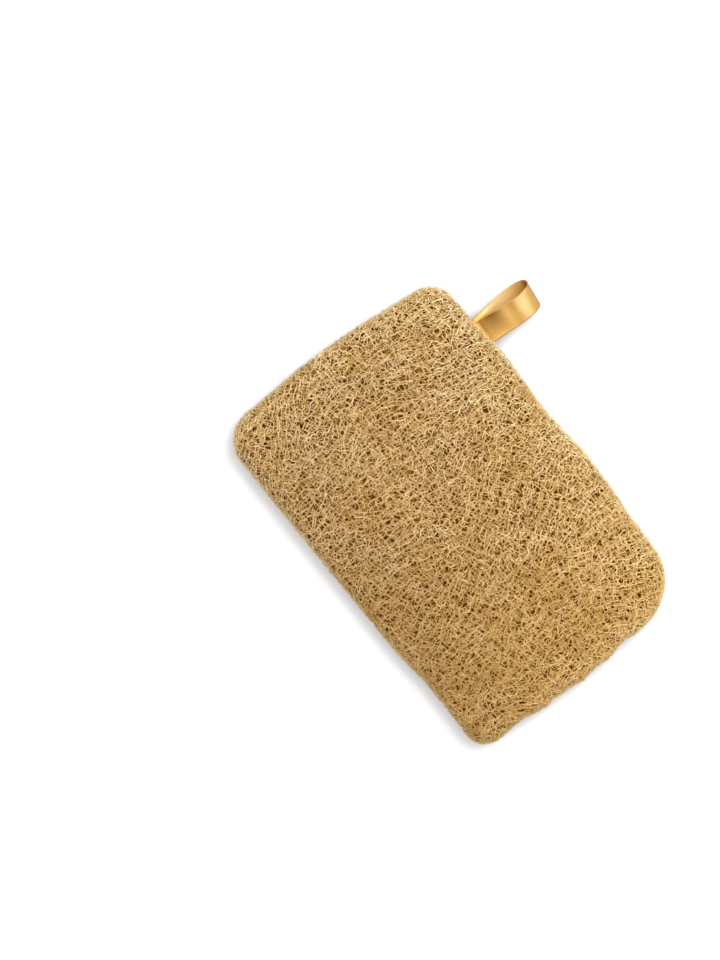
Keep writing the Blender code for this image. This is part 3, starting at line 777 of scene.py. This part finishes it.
def ribbon_piece(material):
    """The satin ribbon: a thin strip with rounded selvedges along the folded line, and its length."""
    line = loop_points(LOOP_POINTS)
    lengths = np.r_[0, np.cumsum(np.linalg.norm(np.diff(line, axis=0), axis=1))]
    wide = np.linspace(-1, 1, ACROSS_POINTS)
    thick = SATIN_HALF_THICKNESS + SELVEDGE_BULGE * np.exp(-((1 - np.abs(wide)) / 0.05) ** 2)
    verts, along, across_at = [], [], []
    for index, (out, height) in enumerate(line):
        before, after = line[max(0, index - 1)], line[min(len(line) - 1, index + 1)]
        run = Vector((*(after - before), 0)).normalized()
        share = lengths[index] / lengths[-1]
        reach = min(1.0, max(0.0, out / RIBBON_REACH))
        twist = TWIST_AT_TIP * (1 - (1 - reach) ** TWIST_POWER)
        turn = Matrix.Rotation(twist, 3, "Y")
        side = LOWER_SHIFT * float(smooth_step((share - 0.2) / 0.6))
        middle = Vector((RIBBON_X + side, MOUTH_Y + out, MIDDLE)) + turn @ Vector((0, 0, height))
        across = turn @ Vector((1, -TIP_SKEW * reach, 0)).normalized()
        outward = turn @ Vector((0, -run.y, run.x))
        for face in (1, -1):
            for w, t in zip(wide, thick):
                verts.append(middle + across * (w * RIBBON_WIDTH / 2) + outward * (face * t))
                along.append(lengths[index])
                across_at.append(w)
    row, half, rows = 2 * len(wide), len(wide), len(line)
    faces = []
    for n in range(rows - 1):
        a, b = n * row, (n + 1) * row
        for k in range(half - 1):
            faces.append((a + k, a + k + 1, b + k + 1, b + k))
            faces.append((a + half + k + 1, a + half + k, b + half + k, b + half + k + 1))
        faces.append((a + half - 1, a + row - 1, b + row - 1, b + half - 1))
        faces.append((a + half, a, b, b + half))
    for a, flip in ((0, False), ((rows - 1) * row, True)):
        for k in range(half - 1):
            face = (a + k, a + half + k, a + half + k + 1, a + k + 1)
            faces.append(face[::-1] if flip else face)
    mesh = bpy.data.meshes.new("satin_ribbon")
    mesh.from_pydata([tuple(v * MM) for v in verts], [], faces)
    mesh.shade_smooth()
    layer = mesh.uv_layers.new(name="cloth")
    corner = np.empty(len(mesh.loops), np.int32)
    mesh.loops.foreach_get("vertex_index", corner)
    uv = np.stack([np.array(across_at)[corner] * RIBBON_WIDTH / 2, np.array(along)[corner]], -1)
    layer.data.foreach_set("uv", uv.astype(np.float32).ravel())
    mesh.materials.append(material)
    return linked("satin_ribbon", mesh), lengths[-1]


# Painted light and shade along the ribbon's length, in mm: (place, half width, share). The first is a
# painted dark reflection of the pad, the second painted shade, most where the strip turns over, the
# third painted highlight.
SATIN_PAINTED_DARK_REFLECTION = ((12.0, 5.0, 0.98), (20.6, 1.6, 0.3))
SATIN_PAINTED_SHADE = ((31.8, 2.5, 0.8), (35.2, 1.6, 0.85), (58.0, 4.5, 0.6), (7.5, 4.0, 0.35))
SATIN_PAINTED_HIGHLIGHT = ((24.9, 2.7, 0.6), (17.6, 1.5, 0.08), (47.5, 8.0, 0.7))


def bands(tree, along, places):
    """Soft bands across the ribbon, added up."""
    total = None
    for middle, half, share in places:
        away = node(tree, "ShaderNodeMath", operation="SUBTRACT")
        tree.links.new(along, away.inputs[0])
        away.inputs[1].default_value = middle
        band = span(tree, absolute(tree, away.outputs[0]), 0, half * 1.5, share, 0)
        band.node.interpolation_type = "SMOOTHERSTEP"
        if total is None:
            total = band
            continue
        both = node(tree, "ShaderNodeMath", operation="ADD", use_clamp=True)
        tree.links.new(total, both.inputs[0])
        tree.links.new(band, both.inputs[1])
        total = both.outputs[0]
    return total


def stretched(tree, uv, scale):
    """The ribbon's flat places, scaled across and along it."""
    made = node(tree, "ShaderNodeMapping")
    made.inputs["Scale"].default_value = scale
    tree.links.new(uv, made.inputs["Vector"])
    return made.outputs[0]


def satin_material():
    """Gold satin: fine threads along it, picks across it, a darker selvedge and soft bands of painted
    reflection, shade and highlight.
    """
    material, tree, shader = new_material("gold_satin")
    uv = node(tree, "ShaderNodeUVMap", uv_map="cloth").outputs[0]
    x, y, _ = axes(tree, uv)
    threads = noise(tree, stretched(tree, uv, (14, 1.1, 1)), 1.0, 3, 0.6)
    picks = noise(tree, stretched(tree, uv, (0.7, 9, 1)), 1.0)
    selvedge = span(tree, absolute(tree, x), 4.55, 4.8)
    gold = mix_colours(tree, span(tree, threads, 0.35, 0.65), (0.49, 0.27, 0.066), (0.57, 0.335, 0.095))
    gold = mix_colours(tree, span(tree, picks, 0.4, 0.7, 0, 0.3), gold, (0.44, 0.23, 0.053))
    # Painted dark reflection, strongest towards one edge of the strip
    dark = product(tree, bands(tree, y, SATIN_PAINTED_DARK_REFLECTION), span(tree, x, -4.5, 4, 1.0, 0.15))
    gold = mix_colours(tree, dark, gold, (0.125, 0.05, 0.002))
    # Painted shade, most where the strip turns over
    gold = mix_colours(tree, bands(tree, y, SATIN_PAINTED_SHADE), gold, (0.22, 0.09, 0.005))
    # Painted highlight
    gold = mix_colours(tree, bands(tree, y, SATIN_PAINTED_HIGHLIGHT), gold, (0.82, 0.60, 0.275))
    gold = mix_colours(tree, selvedge, gold, (0.41, 0.22, 0.053))
    tree.links.new(gold, shader.inputs["Base Color"])
    tree.links.new(span(tree, threads, 0.3, 0.7, 0.28, 0.42), shader.inputs["Roughness"])
    height = node(tree, "ShaderNodeMath", operation="ADD")
    tree.links.new(threads, height.inputs[0])
    tree.links.new(picks, height.inputs[1])
    add_bump(tree, shader, height.outputs[0], 0.25, 0.00005)
    shader.inputs["Anisotropic"].default_value = 0.6
    shader.inputs["Specular IOR Level"].default_value = 0.25
    shader.inputs["Metallic"].default_value = 0.5
    return material


def thread_material():
    """Twisted sewing thread."""
    material, tree, shader = new_material("sewing_thread")
    place = object_place(tree)
    twist = span(tree, noise(tree, place, 2500), 0.35, 0.65)
    cotton = mix_colours(tree, twist, (0.50, 0.30, 0.10), (0.72, 0.50, 0.24))
    tree.links.new(cotton, shader.inputs["Base Color"])
    tree.links.new(span(tree, twist, 0, 1, 0.6, 0.8), shader.inputs["Roughness"])
    add_bump(tree, shader, twist, 0.3, 0.00005)
    return material


# Floor, light and camera
def floor_piece():
    """A wide pale floor."""
    size = 3.0
    corners = [(-size, -size, 0), (size, -size, 0), (size, size, 0), (-size, size, 0)]
    mesh = bpy.data.meshes.new("floor")
    mesh.from_pydata(corners, [], [(0, 1, 2, 3)])
    material, tree, shader = new_material("pale_floor")
    place = object_place(tree)
    tint = span(tree, noise(tree, place, 3), 0.3, 0.7)
    pale = mix_colours(tree, tint, (0.605, 0.605, 0.61), (0.62, 0.62, 0.625))
    tree.links.new(pale, shader.inputs["Base Color"])
    shader.inputs["Roughness"].default_value = 0.8
    shader.inputs["Specular IOR Level"].default_value = 0.1
    mesh.materials.append(material)
    return linked("floor", mesh)


def area_light(name, place, size, power):
    """A square soft light that points at the pad."""
    light = bpy.data.lights.new(name, "AREA")
    light.shape = "RECTANGLE"
    light.size, light.size_y = size, size
    light.energy = power
    thing = linked(name, light)
    thing.location = place
    thing.rotation_euler = (-place).to_track_quat("-Z", "Y").to_euler()


# The camera looks straight down. At the pad's middle plane the picture is FRAME_HEIGHT metres high.
FRAME_HEIGHT, SENSOR = 0.3578, 36
CAMERA_DISTANCE = 1.2
PICTURE_TURN = math.radians(51.63)
camera_data = bpy.data.cameras.new("camera")
camera_data.sensor_fit = "AUTO"
camera_data.sensor_width = SENSOR
camera_data.lens = SENSOR * CAMERA_DISTANCE / FRAME_HEIGHT
camera_data.clip_start = 0.01
camera = linked("camera", camera_data)
camera.location = (-0.03326, -0.02127, CAMERA_DISTANCE + MIDDLE * MM)
camera.rotation_euler = (0, 0, PICTURE_TURN)
bpy.context.scene.camera = camera

scene = bpy.context.scene
scene.view_settings.view_transform = "Standard"
world = bpy.data.worlds.new("studio")
world.use_nodes = True
world.node_tree.nodes["Background"].inputs["Color"].default_value = (1, 1, 1, 1)
world.node_tree.nodes["Background"].inputs["Strength"].default_value = 0.59
scene.world = world


def seen_from(right, up, high):
    """A place given as the picture sees it: metres to the right, up the picture, and above the floor."""
    turn = Matrix.Rotation(PICTURE_TURN, 3, "Z")
    return turn @ Vector((right, up, 0)) + Vector((0, 0, high))


area_light("key", seen_from(0.5, 0.45, 1.0), size=0.8, power=15)
area_light("fill", seen_from(-0.9, -0.4, 1.0), size=1.4, power=11)
area_light("top", seen_from(0.1, 0.2, 1.9), size=1.8, power=28)

# The pieces
fibre = fibre_material()
draw = np.random.default_rng(41)
whorls = Whorls(draw, count=52)
holes = Holes(draw, whorls, closest=1.08)

# The upper net, from its skin inwards: two sets woven over and under each other, two sets below
# them darkened with painted shade, a deep sparse one, a few thick fibres, and the short ones that close
# the net at rim and end. A layer's dark is painted shade.
TOP = (
    dict(density=1.45, lengths=(3, 9), width=0.29, levels=(-0.16, -0.04), scatter=0.24),
    dict(density=1.30, lengths=(2.5, 7.5), width=0.28, levels=(-0.18, -0.05), cross=(1.2, 1.9)),
    dict(density=1.25, lengths=(5, 14), width=0.32, levels=(-0.55, -0.36), over=0.25, dark=0.17),
    dict(density=1.10, lengths=(4, 11), width=0.32, levels=(-0.58, -0.38), cross=(1.1, 1.9), over=0.25,
         dark=0.17),
    dict(density=0.70, lengths=(6, 15), width=0.42, levels=(-1.5, -0.85), cross=(0.0, 1.57), over=0.1,
         dark=0.12, step=1.0),
    dict(density=0.02, lengths=(5, 10), width=0.35, levels=(-0.25, -0.05), over=0.1),
    dict(density=0.90, lengths=(2.5, 6), width=0.25, levels=(-0.32, -0.18), scatter=0.9, over=0.1,
         dark=0.08, strength=0.5, near_edges=True),
)
layers = [strands(draw, whorls, holes, 1, **settings) for settings in TOP]
layers.append(hairs(draw, count=1500, width=0.22))
pieces = [
    tubes("fibres_top_a", [layers[0]], draw, fibre),
    tubes("fibres_top_b", [layers[1], layers[5], layers[7]], draw, fibre),
    tubes("fibres_top_c", [layers[2], layers[6]], draw, fibre),
    tubes("fibres_top_d", [layers[3], layers[4]], draw, fibre),
]

# The underside's net is a little coarser and more open
under_holes = Holes(draw, whorls, closest=1.3)
UNDER = (
    dict(density=1.25, lengths=(4, 12), width=0.36, levels=(-0.27, 0.0), scatter=0.2, step=0.7),
    dict(density=1.12, lengths=(4, 10), width=0.35, levels=(-0.3, 0.0), cross=(1.25, 1.75), step=0.7),
    dict(density=1.25, lengths=(5, 15), width=0.42, levels=(-0.95, -0.45), cross=(0.0, 1.57), step=0.9),
)
layers = [strands(draw, whorls, under_holes, -1, **settings) for settings in UNDER]
pieces += [
    tubes("fibres_under_a", [layers[0]], draw, fibre),
    tubes("fibres_under_b", [layers[1], layers[2]], draw, fibre),
]
pieces.append(core_piece(shadow_core_material(), spacing=1.7, inset=2.3))
for piece in pieces:
    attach(piece, "root")
    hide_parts("loofah_pad")

ribbon, ribbon_length = ribbon_piece(satin_material())
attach(ribbon, "root")
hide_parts("ribbon_loop")

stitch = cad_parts["ribbon_stitch"]
thread = thread_material()
for slot in stitch.material_slots:
    slot.material = thread

floor_piece()
